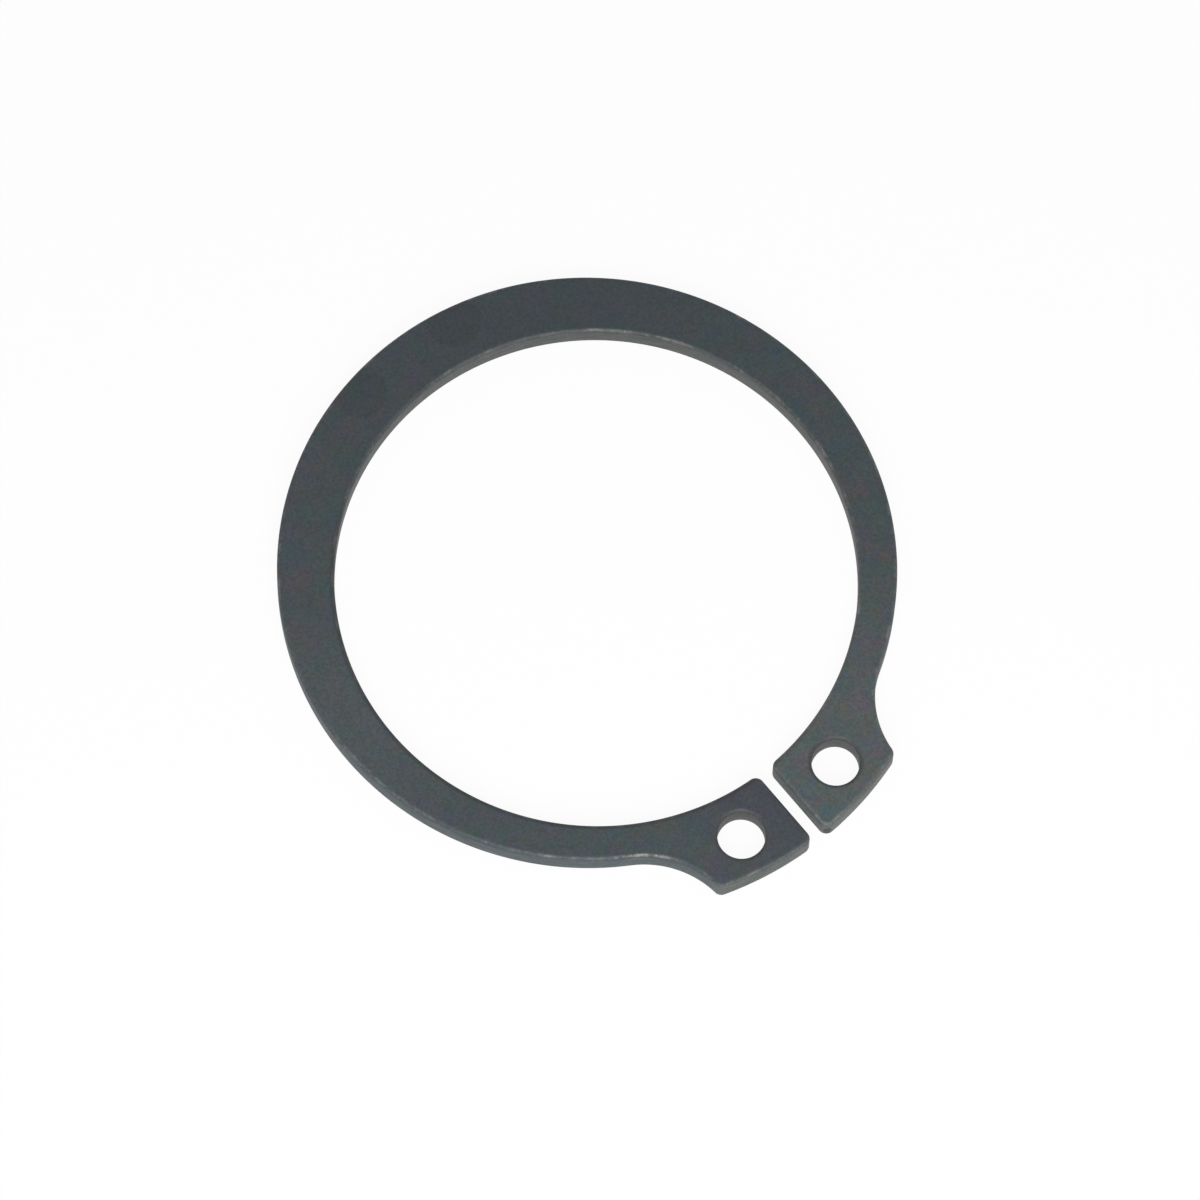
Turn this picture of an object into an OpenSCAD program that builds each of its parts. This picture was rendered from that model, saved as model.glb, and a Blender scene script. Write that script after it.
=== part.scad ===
// External retaining ring for the groove of a 32 mm shaft: one flat blanking of spring steel, 1.5 mm
// thick, open at a narrow gap between two lugs that carry the plier holes. It lies flat with its
// lower face on z = 0, the shaft's axis along z and the gap towards -y.

/* [Band] */

// Diameter of the inner circle, as the free ring lies
inner_d = 29.6; // [27:0.1:33]
// Radial width of the band across from the gap, where it is widest
band_max = 3.55; // [3:0.05:4]
// Radial width that the band narrows to at the lugs
band_min = 1.9; // [1.5:0.05:2.5]
// Thickness of the strip
thickness = 1.5; // [1:0.05:2]

/* [Lugs] */

// Radial height of a lug over the inner circle
lug_height = 4.95; // [4.6:0.05:5.5]
// Width of a lug at its outer end, from the gap to its side
lug_width = 5.95; // [5.2:0.05:6.6]
// Width of the gap between the two lugs
gap_w = 0.9; // [0.5:0.02:2]
// Radius of the hollow neck where a lug's side runs into the band
neck_r = 5.6; // [4:0.1:7]
// Radius of the lugs' corners, seen from above
corner_r = 0.5; // [0.35:0.05:0.7]

/* [Plier holes] */

// Diameter of the hole through each lug
hole_d = 2.7; // [2:0.05:3]
// Height of the hole's centre over the inner circle
hole_height = 2.55; // [2.3:0.05:2.8]
// Distance of the hole's centre from the side of the gap
hole_from_gap = 2.98; // [2.5:0.02:3.4]

/* [Edges] */

// Radius of the edges round the upper face, the side that the punch rolled over
upper_edge_r = 0.25; // [0.15:0.05:0.3]
// Radius of the edges round the lower face, broken by tumbling
lower_edge_r = 0.1; // [0.1:0.05:0.2]
// Steps in which an edge turns from the face to the wall
edge_steps = 4; // [2:1:4]

/* [Hidden] */

// Smoothness of the round walls
$fn = 180;

// Depth by which round cuts overlap where they meet, so that their walls cross cleanly
dip = 0.01;

// Overrun of a cutting shape past the blank
over = 1;

inner_r = inner_d / 2;
lug_r = inner_r + lug_height;
band_r = inner_r + (band_max + band_min) / 2;
gap_side = gap_w / 2;
lug_side = gap_side + lug_width;

// The band's outer circle sits off the shaft's axis, away from the gap
axis = [0, 0];
band_centre = [0, (band_max - band_min) / 2];

// Heading of one point seen from another, in degrees from +x
function heading(from, to) = atan2(to.y - from.y, to.x - from.x);

// Point at distances ra from a and rb from b, on the left of the way from a to b
function meeting(a, ra, b, rb) =
    let (d = norm(b - a), u = (b - a) / d, along = (d ^ 2 + ra ^ 2 - rb ^ 2) / (2 * d))
    a + along * u + sqrt(ra ^ 2 - along ^ 2) * [-u.y, u.x];

// Point at a distance from the axis, below it and x to the right
function below_axis(x, distance) = [x, -sqrt(distance ^ 2 - x ^ 2)];

// Centres of the right lug's round outlines
neck = meeting(band_centre, band_r + neck_r - dip, below_axis(lug_side, lug_r), neck_r);
side_corner = meeting(neck, neck_r + corner_r, axis, lug_r - corner_r);
outer_corner = below_axis(gap_side + corner_r, lug_r - corner_r);
inner_corner = below_axis(gap_side + corner_r, inner_r + corner_r);
hole = below_axis(gap_side + hole_from_gap, inner_r + hole_height);

// Section of the metal's edge, from below the strip to above it: y is the height, x the distance
// that the metal stands back from its wall. Its first and last flats run on past the faces
function turn(i) = let (a = 90 * i / edge_steps) [1 - sin(a), 1 - cos(a)];
past_face = 2 * turn(0) - turn(1);
lower = lower_edge_r * concat([past_face], [for (i = [1 : edge_steps]) turn(i)]);
upper = upper_edge_r * concat([for (i = [edge_steps : -1 : 1]) turn(i)], [past_face]);
edge = concat(
    [[lower[0].x, -over]], lower,
    [for (p = upper) [p.x, thickness - p.y]], [[upper[edge_steps].x, thickness + over]]);

// Cuts the inside of a full circle out
module cut_inside(centre, r)
    translate(centre) rotate_extrude()
        polygon(concat([[0, -over]], [for (p = edge) [r + p.x, p.y]], [[0, thickness + over]]));

// Cuts away what lies outside a circle, as far as the reach, from one heading round to another
module cut_outside(centre, r, from, to, reach)
    translate(centre) rotate_extrude(angle = to - from, start = from)
        polygon(concat([[r + reach, -over]], [for (p = edge) [r - p.x, p.y]],
            [[r + reach, thickness + over]]));

// Cuts the same from both lugs, the right one and then the left one
module cut_lugs() difference() {
    difference() {
        children(0);
        children(1);
    }
    mirror([1, 0, 0]) children(1);
}

// Rounds a corner of both lugs, between two headings
module round_corners(centre, from, to) cut_lugs() {
    children();
    cut_outside(centre, corner_r + dip, from, to, corner_r);
}

// A disc out to the lugs' ends, its rim already rounded
module blank() rotate_extrude() intersection() {
    square([lug_r, thickness]);
    polygon(concat([[-over, -over]], [for (p = edge) [lug_r - p.x, p.y]], [[-over, thickness + over]]));
}

// With the band's outer circle, from neck round to neck
module banded() difference() {
    blank();
    let (a = heading(band_centre, neck))
        cut_outside(band_centre, band_r, a, 180 - a, lug_height + 2 * over);
}

// With the hollow necks beside the lugs, then the lugs' far corners
module necked() cut_lugs() {
    banded();
    cut_inside(neck, neck_r);
}

module shouldered() round_corners(side_corner, heading(axis, side_corner), heading(side_corner, neck))
    necked();

// With the shaft's opening
module opened() difference() {
    shouldered();
    cut_inside(axis, inner_r);
}

// With the two walls of the gap, then the corners at its ends
module parted() difference() {
    opened();
    rotate([90, 0, 0]) linear_extrude(lug_r + over)
        polygon(concat([for (p = edge) [gap_side + p.x, p.y]],
            [for (i = [len(edge) - 1 : -1 : 0]) [-gap_side - edge[i].x, edge[i].y]]));
}

module eased() round_corners(outer_corner, -180, heading(axis, outer_corner))
    round_corners(inner_corner, heading(inner_corner, axis), 180) parted();

// With the plier holes
module ring() color("dimgray") cut_lugs() {
    eased();
    cut_inside(hole, hole_d / 2);
}

ring();
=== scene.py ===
# An external retaining ring for a 32 mm shaft: one flat blanking of spring steel, 1.5 mm thick,
# hardened, tumbled and phosphated to a matt blue-black. It lies on a pale table with the gap
# between its lugs towards the viewer, and is seen from above.
import math

import bmesh
import bpy
from mathutils import Euler, Matrix, Vector


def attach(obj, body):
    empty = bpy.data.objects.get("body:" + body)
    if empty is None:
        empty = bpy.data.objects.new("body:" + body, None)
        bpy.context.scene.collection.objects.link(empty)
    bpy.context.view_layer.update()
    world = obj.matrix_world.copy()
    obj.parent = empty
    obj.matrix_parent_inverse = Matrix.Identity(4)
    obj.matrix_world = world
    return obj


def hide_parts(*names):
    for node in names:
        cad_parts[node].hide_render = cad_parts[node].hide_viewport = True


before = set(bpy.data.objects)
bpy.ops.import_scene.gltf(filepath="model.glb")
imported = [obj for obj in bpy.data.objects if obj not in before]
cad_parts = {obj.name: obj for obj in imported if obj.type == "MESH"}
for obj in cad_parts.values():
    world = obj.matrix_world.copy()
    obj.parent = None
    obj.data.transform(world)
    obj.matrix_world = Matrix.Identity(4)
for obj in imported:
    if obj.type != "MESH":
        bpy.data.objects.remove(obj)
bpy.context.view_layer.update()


# The ring, drawn in millimetres: its outline is the one that the die cuts, so its wall is made
# as one section that is swept along the arcs of the right half, and then mirrored to the left.

inner_r = 14.8
band_max, band_min = 3.55, 1.9
thickness = 1.5
lug_height, lug_width = 4.95, 5.95
half_gap = 0.45
neck_r, corner_r = 5.6, 0.5
hole_r, hole_height, hole_from_gap = 1.35, 2.55, 2.98
upper_edge_r, lower_edge_r = 0.25, 0.1

lug_r = inner_r + lug_height
band_r = inner_r + (band_max + band_min) / 2
axis = Vector((0, 0))
band_centre = Vector((0, (band_max - band_min) / 2))


def below_axis(x, distance):
    """The point at a distance from the axis, below it and x to the right."""
    return Vector((x, -math.sqrt(distance ** 2 - x ** 2)))


def meeting(a, ra, b, rb):
    """The point at distances ra from a and rb from b, on the left of the way from a to b."""
    way = (b - a).normalized()
    d = (b - a).length
    along = (d ** 2 + ra ** 2 - rb ** 2) / (2 * d)
    return a + along * way + math.sqrt(ra ** 2 - along ** 2) * Vector((-way.y, way.x))


def heading(a, b):
    """The direction from a to b, in degrees from +X."""
    return math.degrees(math.atan2(b.y - a.y, b.x - a.x))


neck = meeting(band_centre, band_r + neck_r, below_axis(half_gap + lug_width, lug_r), neck_r)
side_corner = meeting(neck, neck_r + corner_r, axis, lug_r - corner_r)
outer_corner = below_axis(half_gap + corner_r, lug_r - corner_r)
inner_corner = below_axis(half_gap + corner_r, inner_r + corner_r)
hole = below_axis(half_gap + hole_from_gap, inner_r + hole_height)


def select(mesh, test):
    """Selects the vertices that pass a test, and the edges and faces between them."""
    data = bmesh.from_edit_mesh(mesh)
    for v in data.verts:
        v.select_set(test(v))
    data.select_flush_mode()
    bmesh.update_edit_mesh(mesh)


def edge_section(mesh, x, y):
    """Adds the metal's edge as an open line that faces -Y: both flats, both rounds and the wall.
    It reaches in past the larger round."""
    depth = 0.34
    near = 0.01
    middle = (x, y + depth / 2, thickness / 2)
    bpy.ops.mesh.select_all(action="DESELECT")
    bpy.ops.mesh.primitive_plane_add(size=1, location=middle, rotation=(0, math.radians(90), 0))
    bpy.ops.transform.resize(value=(1, depth, thickness), center_override=middle)
    on_wall = lambda v: abs(v.co.x - x) < near and abs(v.co.y - y) < near
    for z, r in ((thickness, upper_edge_r), (0, lower_edge_r)):
        select(mesh, lambda v: on_wall(v) and abs(v.co.z - z) < near)
        bpy.ops.mesh.bevel(offset=r, segments=6, profile=0.5, affect="VERTICES")
    section = lambda v: abs(v.co.x - x) < near and y - near < v.co.y < y + depth + near
    select(mesh, section)
    bpy.ops.mesh.delete(type="ONLY_FACE")
    select(mesh, lambda v: section(v) and v.co.y > y + depth - near)
    bpy.ops.mesh.delete(type="EDGE_FACE")
    select(mesh, section)


def sweep(centre, turn, facet):
    """Sweeps the selected section round a centre, to the left for a positive turn in degrees, in
    six or more steps of about a facet's angle."""
    bpy.ops.mesh.spin(steps=max(6, round(abs(turn) / facet)), angle=math.radians(-turn),
                      center=(centre.x, centre.y, 0), axis=(0, 0, 1))


bpy.ops.object.select_all(action="DESELECT")
bpy.ops.object.add(type="MESH")
ring = bpy.context.object
ring.name = "ring_blanking"
ring.data.name = "ring_blanking"
bpy.ops.object.mode_set(mode="EDIT")
bpy.context.tool_settings.mesh_select_mode = (True, False, False)

# round the opening to the lug, its corners and the neck, and back along the band
edge_section(ring.data, 0, inner_r)
sweep(axis, heading(axis, inner_corner) - 90, facet=1)
sweep(inner_corner, 180 - heading(inner_corner, axis), facet=6)
along_gap = (0, outer_corner.y - inner_corner.y, 0)
bpy.ops.mesh.extrude_region_move(TRANSFORM_OT_translate={"value": along_gap})
sweep(outer_corner, heading(axis, outer_corner) + 180, facet=6)
sweep(axis, heading(axis, side_corner) - heading(axis, outer_corner), facet=1)
sweep(side_corner, heading(side_corner, neck) - heading(axis, side_corner), facet=6)
sweep(neck, heading(neck, band_centre) - heading(neck, side_corner), facet=2)
sweep(band_centre, 90 - heading(band_centre, neck), facet=1)

# the plier hole
edge_section(ring.data, hole.x, hole.y + hole_r)
sweep(hole, 360, facet=4)
bpy.ops.mesh.select_all(action="SELECT")
same_place = 0.005
bpy.ops.mesh.remove_doubles(threshold=same_place)
bpy.ops.object.mode_set(mode="OBJECT")

# the left half, then the two faces
bpy.ops.object.modifier_add(type="MIRROR")
ring.modifiers["Mirror"].merge_threshold = same_place
bpy.ops.object.modifier_apply(modifier="Mirror")
bpy.ops.object.mode_set(mode="EDIT")
for z in (thickness, 0):
    select(ring.data, lambda v: v.is_boundary and abs(v.co.z - z) < same_place)
    bpy.ops.mesh.fill(use_beauty=True)
bpy.ops.mesh.select_all(action="SELECT")
bpy.ops.mesh.normals_make_consistent(inside=False)

# from millimetres to metres
bpy.ops.transform.resize(value=(0.001, 0.001, 0.001), center_override=(0, 0, 0))
bpy.ops.object.mode_set(mode="OBJECT")
bpy.ops.object.shade_smooth_by_angle(angle=math.radians(30))


def linear(code):
    """Turns an sRGB hex colour to the linear one that a shader takes."""
    levels = [int(code[i:i + 2], 16) / 255 for i in (1, 3, 5)]
    return [c / 12.92 if c <= 0.04045 else ((c + 0.055) / 1.055) ** 2.4 for c in levels] + [1]


def add(tree, kind, inputs={}, stops=(), **settings):
    """Adds a node with its settings. An input goes by its name, or by its number where several
    share one, and takes a value or the output that is linked to it. A colour ramp's stops are
    pairs of a place and a hex colour."""
    node = tree.nodes.new(kind)
    for name, value in settings.items():
        setattr(node, name, value)
    for name, value in inputs.items():
        if isinstance(value, bpy.types.NodeSocket):
            tree.links.new(value, node.inputs[name])
        else:
            node.inputs[name].default_value = value
    for i, (place, code) in enumerate(stops):
        if i == len(node.color_ramp.elements):
            node.color_ramp.elements.new(place)
        node.color_ramp.elements[i].position = place
        node.color_ramp.elements[i].color = linear(code)
    return node


# Phosphated spring steel: tumbled, then given a dull crystalline coat that is blue-black with
# faint green and violet stains. The cut walls took less of it, and the rolled edge is rubbed and
# carries a painted highlight; painted light and shade lie on the face in places.
# Places, distances and heights are in millimetres.

steel = bpy.data.materials.new("phosphated_spring_steel")
steel.use_nodes = True
tree = steel.node_tree
tree.nodes.clear()
object_place = add(tree, "ShaderNodeTexCoord").outputs["Object"]
mm = add(tree, "ShaderNodeMapping", {
    "Vector": object_place, "Scale": (1000, 1000, 1000)}).outputs["Vector"]
part = add(tree, "ShaderNodeSeparateXYZ", {"Vector": mm}).outputs
flat = add(tree, "ShaderNodeMapping", {"Vector": mm, "Scale": (1, 1, 0)}).outputs["Vector"]

clouds = add(tree, "ShaderNodeTexNoise", {
    "Vector": mm, "Scale": 0.7, "Detail": 6, "Roughness": 0.7}).outputs["Fac"]
coat = add(tree, "ShaderNodeValToRGB", {"Fac": clouds}, [
    (0.28, "#2f373b"), (0.5, "#3e4649"), (0.72, "#4e565a")]).outputs["Color"]

# broad stains that shift the coat to green or violet
stain_place = add(tree, "ShaderNodeMapping", {
    "Vector": mm, "Location": (31, 7, 0)}).outputs["Vector"]
stains = add(tree, "ShaderNodeTexNoise", {
    "Vector": stain_place, "Scale": 0.6, "Detail": 5, "Roughness": 0.65}).outputs["Fac"]
tint = add(tree, "ShaderNodeValToRGB", {"Fac": stains}, [
    (0.35, "#2d4a49"), (0.5, "#3d4548"), (0.65, "#4e404d")]).outputs["Color"]
coat = add(tree, "ShaderNodeMix", {0: 0.75, 6: coat, 7: tint}, data_type="RGBA").outputs[2]

# smaller ones that shift it to olive or blue
stain_place = add(tree, "ShaderNodeMapping", {
    "Vector": mm, "Location": (-12, 45, 0)}).outputs["Vector"]
stains = add(tree, "ShaderNodeTexNoise", {
    "Vector": stain_place, "Scale": 1.1, "Detail": 4, "Roughness": 0.65}).outputs["Fac"]
tint = add(tree, "ShaderNodeValToRGB", {"Fac": stains}, [
    (0.35, "#43473a"), (0.5, "#3d4548"), (0.65, "#384355")]).outputs["Color"]
coat = add(tree, "ShaderNodeMix", {0: 0.4, 6: coat, 7: tint}, data_type="RGBA").outputs[2]

# painted shade: the coat is drawn a little darker across from the gap, on the far side, where
# less light falls
from_far_shade = add(tree, "ShaderNodeVectorMath", {
    0: flat, 1: (8, 14.5, 0)}, operation="DISTANCE").outputs["Value"]
far_painted_shade = add(tree, "ShaderNodeMapRange", {
    "Value": from_far_shade, "From Min": 22, "From Max": 2, "To Max": 0.57}).outputs["Result"]
coat = add(tree, "ShaderNodeMix", {
    0: far_painted_shade, 6: coat, 7: linear("#30393e")}, data_type="RGBA").outputs[2]

# and paler on the left of the band
from_pale = add(tree, "ShaderNodeVectorMath", {
    0: flat, 1: (-17, 2, 0)}, operation="DISTANCE").outputs["Value"]
pale = add(tree, "ShaderNodeMapRange", {
    "Value": from_pale, "From Min": 8, "From Max": 2, "To Max": 0.35}).outputs["Result"]
coat = add(tree, "ShaderNodeMix", {
    0: pale, 6: coat, 7: linear("#505759")}, data_type="RGBA").outputs[2]

# painted shade on the plier holes' rounded rims, drawn a little darker where they turn down into
# the holes
both_lugs = add(tree, "ShaderNodeVectorMath", {0: flat}, operation="ABSOLUTE").outputs["Vector"]
from_hole = add(tree, "ShaderNodeVectorMath", {
    0: both_lugs, 1: (hole.x, -hole.y, 0)}, operation="DISTANCE").outputs["Value"]
off_rim = add(tree, "ShaderNodeMapRange", {
    "Value": from_hole, "From Min": hole_r + 0.12, "From Max": hole_r + 0.27}).outputs["Result"]
rim_shade = add(tree, "ShaderNodeMapRange", {
    "Value": off_rim, "To Min": 0.85}).outputs["Result"]

# painted light: the face of the right lug and of the band beside it is drawn lighter, where more
# light falls, though not the hole's rim
from_right = add(tree, "ShaderNodeVectorMath", {
    0: flat, 1: (4.2, -18, 0)}, operation="DISTANCE").outputs["Value"]
right_painted_light = add(tree, "ShaderNodeMapRange", {
    "Value": from_right, "From Min": 17, "From Max": 1.5, "To Max": 0.59},
    interpolation_type="SMOOTHSTEP").outputs["Result"]
right_side = add(tree, "ShaderNodeMath", {
    0: part["X"], 1: 0}, operation="GREATER_THAN").outputs["Value"]
right_painted_light = add(tree, "ShaderNodeMath", {
    0: right_painted_light, 1: right_side}, operation="MULTIPLY").outputs["Value"]
right_painted_light = add(tree, "ShaderNodeMath", {
    0: right_painted_light, 1: off_rim}, operation="MULTIPLY").outputs["Value"]
painted_light_lift = add(tree, "ShaderNodeMix", {
    0: right_painted_light, 4: (1, 1, 1), 5: (1.9, 1.76, 1.62)}, data_type="VECTOR").outputs[1]
coat = add(tree, "ShaderNodeVectorMath", {
    0: coat, 1: painted_light_lift}, operation="MULTIPLY").outputs["Vector"]

# a violet stain on the left lug, by the gap
from_left = add(tree, "ShaderNodeVectorMath", {
    0: flat, 1: (-1.2, -16.5, 0)}, operation="DISTANCE").outputs["Value"]
on_left = add(tree, "ShaderNodeMapRange", {
    "Value": from_left, "From Min": 5, "From Max": 1.5, "To Max": 0.8},
    interpolation_type="SMOOTHSTEP").outputs["Result"]
left_side = add(tree, "ShaderNodeMath", {
    0: part["X"], 1: 0}, operation="LESS_THAN").outputs["Value"]
on_left = add(tree, "ShaderNodeMath", {
    0: on_left, 1: left_side}, operation="MULTIPLY").outputs["Value"]
blotches = add(tree, "ShaderNodeMapRange", {
    "Value": clouds, "From Min": 0.4, "From Max": 0.6,
    "To Min": 1.15, "To Max": 0.55}).outputs["Result"]
on_left = add(tree, "ShaderNodeMath", {
    0: on_left, 1: blotches}, operation="MULTIPLY").outputs["Value"]
coat = add(tree, "ShaderNodeMix", {
    0: on_left, 6: coat, 7: linear("#393b43")}, data_type="RGBA").outputs[2]
# the painted shade at the plier holes' rims
coat = add(tree, "ShaderNodeVectorMath", {
    0: coat, "Scale": rim_shade}, operation="SCALE").outputs["Vector"]

# the cut wall: greyer in the opening, blue-black round the outside and lighter at the lugs' ends,
# which knock against other rings in the tumbler; faint streaks run along it
from_axis = add(tree, "ShaderNodeVectorMath", {0: flat}, operation="LENGTH").outputs["Value"]
outward = add(tree, "ShaderNodeMapRange", {
    "Value": from_axis, "From Min": inner_r, "From Max": lug_r}).outputs["Result"]
wall = add(tree, "ShaderNodeValToRGB", {"Fac": outward}, [
    (0.04, "#4a4d4d"), (0.12, "#454e52"), (0.85, "#454e52"), (0.97, "#535856")]).outputs["Color"]
drawn = add(tree, "ShaderNodeMapping", {"Vector": mm, "Scale": (0.6, 0.6, 5)}).outputs["Vector"]
streaks = add(tree, "ShaderNodeTexNoise", {
    "Vector": drawn, "Scale": 1, "Detail": 3, "Roughness": 0.6}).outputs["Fac"]
streaks = add(tree, "ShaderNodeMapRange", {
    "Value": streaks, "From Min": 0.32, "From Max": 0.68,
    "To Min": 0.73, "To Max": 1.27}).outputs["Result"]
wall = add(tree, "ShaderNodeVectorMath", {
    0: wall, "Scale": streaks}, operation="SCALE").outputs["Vector"]

# painted light on the right side's wall too, and a plain grey in the plier holes
wall = add(tree, "ShaderNodeMix", {
    0: right_painted_light, 6: wall, 7: linear("#606360")}, data_type="RGBA").outputs[2]
wall = add(tree, "ShaderNodeMix", {
    0: off_rim, 6: linear("#4a4a4b"), 7: wall}, data_type="RGBA").outputs[2]
below_top = add(tree, "ShaderNodeMapRange", {
    "Value": part["Z"], "From Min": thickness - 0.005,
    "From Max": thickness - 0.07}).outputs["Result"]
above_foot = add(tree, "ShaderNodeMapRange", {
    "Value": part["Z"], "From Min": 0.02, "From Max": lower_edge_r}).outputs["Result"]
on_wall = add(tree, "ShaderNodeMath", {
    0: below_top, 1: above_foot}, operation="MULTIPLY").outputs["Value"]
colour = add(tree, "ShaderNodeMix", {0: on_wall, 6: coat, 7: wall}, data_type="RGBA").outputs[2]

# bare metal on the rolled edge, in patches all round: partly real rubbing, partly a painted
# highlight laid where the round tilts up to catch the light
up = add(tree, "ShaderNodeMapRange", {
    "Value": part["Z"], "From Min": thickness - 0.16,
    "From Max": thickness - 0.08}).outputs["Result"]
down = add(tree, "ShaderNodeMapRange", {
    "Value": part["Z"], "From Min": thickness - 0.002,
    "From Max": thickness - 0.02}).outputs["Result"]
on_edge = add(tree, "ShaderNodeMath", {0: up, 1: down}, operation="MULTIPLY").outputs["Value"]
on_edge = add(tree, "ShaderNodeMath", {
    0: on_edge, 1: off_rim}, operation="MULTIPLY").outputs["Value"]
rubs_and_highlight = add(tree, "ShaderNodeTexNoise", {
    "Vector": mm, "Scale": 0.9, "Detail": 7, "Roughness": 0.72}).outputs["Fac"]
rubbed_and_highlight = add(tree, "ShaderNodeMapRange", {
    "Value": rubs_and_highlight, "From Min": 0.5, "From Max": 0.75, "To Max": 0.5}).outputs["Result"]

# and in flecks where the left lug's neck runs into the band
from_worn = add(tree, "ShaderNodeVectorMath", {
    0: flat, 1: (-8.7, -14.5, 0)}, operation="DISTANCE").outputs["Value"]
worn = add(tree, "ShaderNodeMapRange", {
    "Value": from_worn, "From Min": 2.4, "From Max": 1, "To Max": 0.35}).outputs["Result"]
flecks = add(tree, "ShaderNodeTexNoise", {
    "Vector": mm, "Scale": 2.2, "Detail": 3, "Roughness": 0.7}).outputs["Fac"]
flecks = add(tree, "ShaderNodeMapRange", {
    "Value": flecks, "From Min": 0.42, "From Max": 0.62,
    "To Min": 0.1, "To Max": 1.6}).outputs["Result"]
worn = add(tree, "ShaderNodeMath", {0: worn, 1: flecks}, operation="MULTIPLY").outputs["Value"]
rubbed_and_highlight = add(tree, "ShaderNodeMath", {0: rubbed_and_highlight, 1: worn}, operation="MAXIMUM").outputs["Value"]
bare_and_highlight = add(tree, "ShaderNodeMath", {0: on_edge, 1: rubbed_and_highlight}, operation="MULTIPLY").outputs["Value"]
colour = add(tree, "ShaderNodeMix", {
    0: bare_and_highlight, 6: colour, 7: linear("#a3a09b")}, data_type="RGBA").outputs[2]

# painted shade on the opening's rolled edge, from the left lug round to the left of the band,
# where the round turns away from the light
leftward = add(tree, "ShaderNodeVectorMath", {
    0: flat, 1: (-0.94, -0.34, 0)}, operation="DOT_PRODUCT").outputs["Value"]
leftward = add(tree, "ShaderNodeMapRange", {
    "Value": leftward, "From Min": 1, "From Max": 7, "To Max": 0.42}).outputs["Result"]
at_opening = add(tree, "ShaderNodeMapRange", {
    "Value": from_axis, "From Min": inner_r + 0.34,
    "From Max": inner_r + 0.18}).outputs["Result"]
rolled = add(tree, "ShaderNodeMapRange", {
    "Value": part["Z"], "From Min": thickness - 0.22,
    "From Max": thickness - 0.14}).outputs["Result"]
painted_opening_shade = add(tree, "ShaderNodeMath", {
    0: at_opening, 1: rolled}, operation="MULTIPLY").outputs["Value"]
painted_opening_shade = add(tree, "ShaderNodeMath", {0: painted_opening_shade, 1: leftward}, operation="MULTIPLY").outputs["Value"]
colour = add(tree, "ShaderNodeMix", {
    0: painted_opening_shade, 6: colour, 7: linear("#15191b")}, data_type="RGBA").outputs[2]

# a dark spot low on the right lug's corner, at the gap, twice as high as it is wide
squat = add(tree, "ShaderNodeMapping", {"Vector": mm, "Scale": (1, 1, 0.5)}).outputs["Vector"]
from_corner_spot = add(tree, "ShaderNodeVectorMath", {
    0: squat, 1: (0.68, -19.64, 0.26)}, operation="DISTANCE").outputs["Value"]
corner_spot = add(tree, "ShaderNodeMapRange", {
    "Value": from_corner_spot, "From Min": 0.31, "From Max": 0.18, "To Max": 0.85}).outputs["Result"]
colour = add(tree, "ShaderNodeMix", {
    0: corner_spot, 6: colour, 7: linear("#1c1f20")}, data_type="RGBA").outputs[2]

# the crystals are too fine to show, and are drawn about 0.15 mm wide
crystals = add(tree, "ShaderNodeTexNoise", {"Vector": mm, "Scale": 7, "Detail": 3}).outputs["Fac"]
speckle = add(tree, "ShaderNodeValToRGB", {"Fac": crystals}, [
    (0.3, "#d4d4d4"), (0.65, "#ffffff")]).outputs["Color"]
colour = add(tree, "ShaderNodeMix", {
    0: 1, 6: colour, 7: speckle}, data_type="RGBA", blend_type="MULTIPLY").outputs[2]
relief = add(tree, "ShaderNodeBump", {
    "Height": crystals, "Strength": 0.5, "Distance": 0.000006}).outputs["Normal"]
dullness = add(tree, "ShaderNodeMapRange", {
    "Value": clouds, "From Min": 0.3, "From Max": 0.7,
    "To Min": 0.62, "To Max": 0.5}).outputs["Result"]
shader = add(tree, "ShaderNodeBsdfPrincipled", {
    "Base Color": colour, "Metallic": bare_and_highlight, "Roughness": dullness, "Specular IOR Level": 0.35,
    "Normal": relief}).outputs["BSDF"]
add(tree, "ShaderNodeOutputMaterial", {"Surface": shader})
ring.data.materials.append(steel)

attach(ring, "root")
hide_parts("ring")


# The table: a wide pale sheet that the camera and the steel see as near white, and that still
# takes the ring's soft shadow.

bpy.ops.mesh.primitive_plane_add(size=4, location=(0, 0, 0))
table = bpy.context.object
table.name = "pale_table"
paper = bpy.data.materials.new("pale_paper")
paper.use_nodes = True
tree = paper.node_tree
tree.nodes.clear()


def seen(tree):
    """Adds a 1 for camera, glossy and transmission rays, and a 0 for the rays that light."""
    ray = add(tree, "ShaderNodeLightPath").outputs
    plain_or_glossy = add(tree, "ShaderNodeMath", {
        0: ray["Is Camera Ray"], 1: ray["Is Glossy Ray"]}, operation="ADD").outputs["Value"]
    return add(tree, "ShaderNodeMath", {
        0: plain_or_glossy, 1: ray["Is Transmission Ray"]},
        operation="ADD", use_clamp=True).outputs["Value"]


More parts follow.
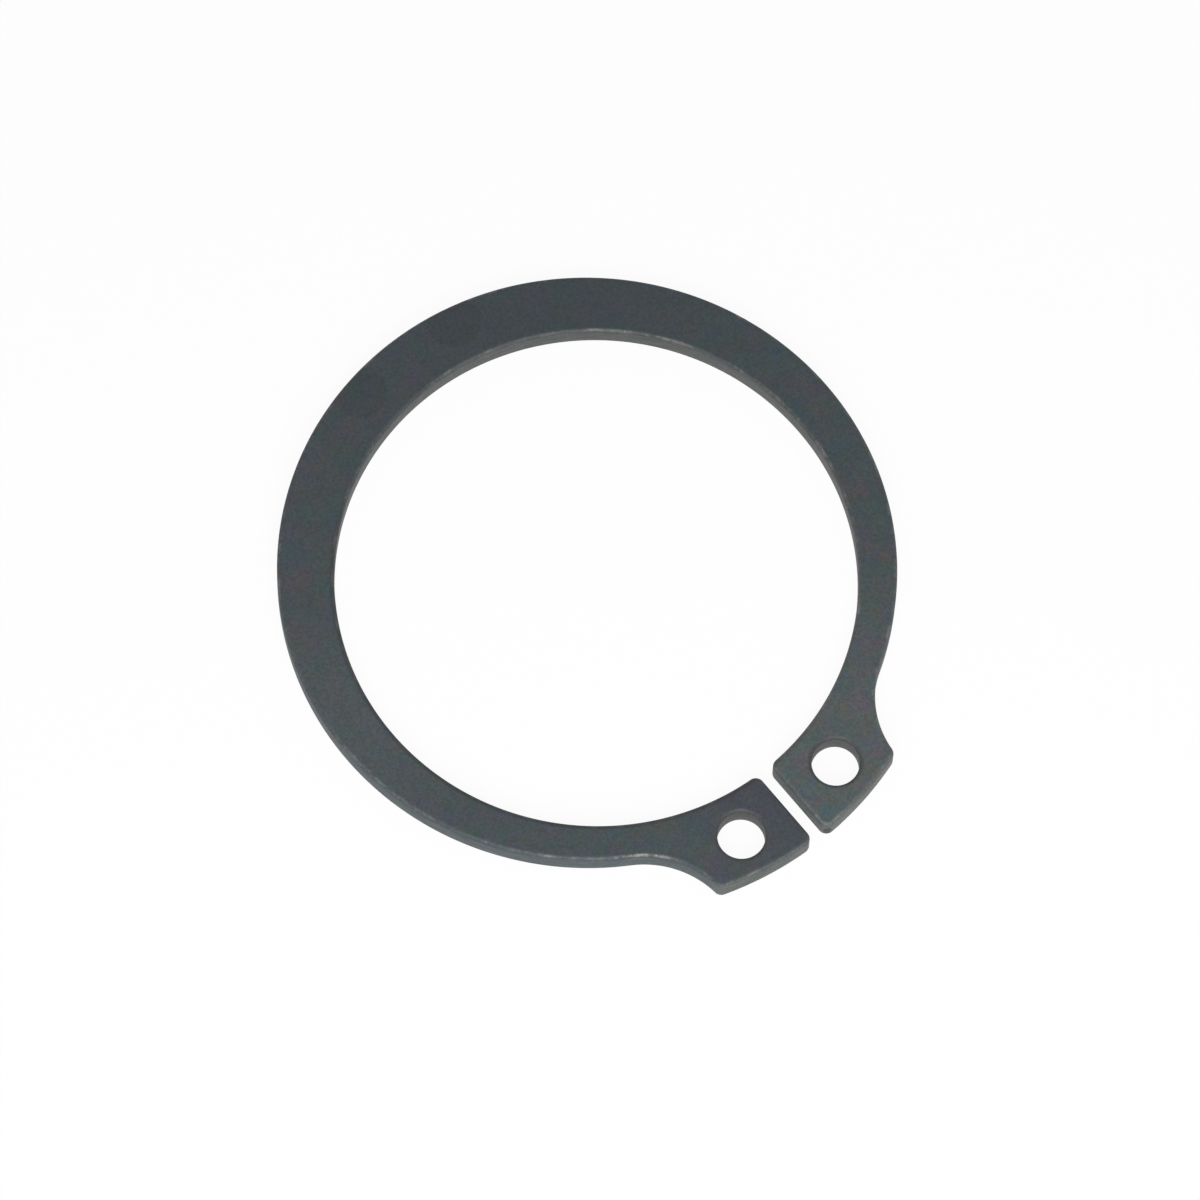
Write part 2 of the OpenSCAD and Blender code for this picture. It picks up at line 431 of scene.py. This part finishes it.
share = add(tree, "ShaderNodeMath", {
    0: seen(tree), 1: 0.94}, operation="MULTIPLY").outputs["Value"]
matt = add(tree, "ShaderNodeBsdfDiffuse", {"Color": linear("#f2f2f0")}).outputs["BSDF"]
white = add(tree, "ShaderNodeEmission", {"Color": linear("#ffffff")}).outputs["Emission"]
mixed = add(tree, "ShaderNodeMixShader", {0: share, 1: matt, 2: white}).outputs["Shader"]
add(tree, "ShaderNodeOutputMaterial", {"Surface": mixed})
table.data.materials.append(paper)


# The light: a plain white room that lights less strongly than it looks, and one large soft lamp
# on the viewer's side.

room = bpy.data.worlds.new("white_room")
bpy.context.scene.world = room
room.use_nodes = True
tree = room.node_tree
tree.nodes.clear()
level = add(tree, "ShaderNodeMapRange", {"Value": seen(tree), "To Min": 0.42}).outputs["Result"]
walls = add(tree, "ShaderNodeBackground", {
    "Color": linear("#ffffff"), "Strength": level}).outputs["Background"]
add(tree, "ShaderNodeOutputWorld", {"Surface": walls})


def facing(azimuth, elevation, roll=0):
    """The turn of a camera or lamp that stands at an azimuth and elevation and looks at the
    middle."""
    turn = Euler((math.radians(90 - elevation), 0, math.radians(azimuth))).to_matrix()
    return turn @ Matrix.Rotation(math.radians(roll), 3, "Z")


turn = facing(azimuth=-36, elevation=46)
away = 0.18
bpy.ops.object.light_add(
    type="AREA", location=turn @ Vector((0, 0, away)), rotation=turn.to_euler())
lamp = bpy.context.object
lamp.name = "soft_lamp"
lamp.data.shape = "DISK"
lamp.data.size = 0.14
lamp.data.energy = 0.29
lamp.visible_camera = False


# The camera: a long lens 0.588 m away, high over the gap's side of the ring. Its aim is given in
# metres across and up the picture from the shaft's axis.

turn = facing(azimuth=-41.769, elevation=70.378, roll=2.623)
across, up, away = 0.000218, -0.00085, 0.58778
bpy.ops.object.camera_add(location=turn @ Vector((across, up, away)), rotation=turn.to_euler())
camera = bpy.context.object
camera.data.lens = 311.62
camera.data.sensor_width = 36
camera.data.clip_start = 0.01
bpy.context.scene.camera = camera
bpy.context.scene.view_settings.view_transform = "Standard"
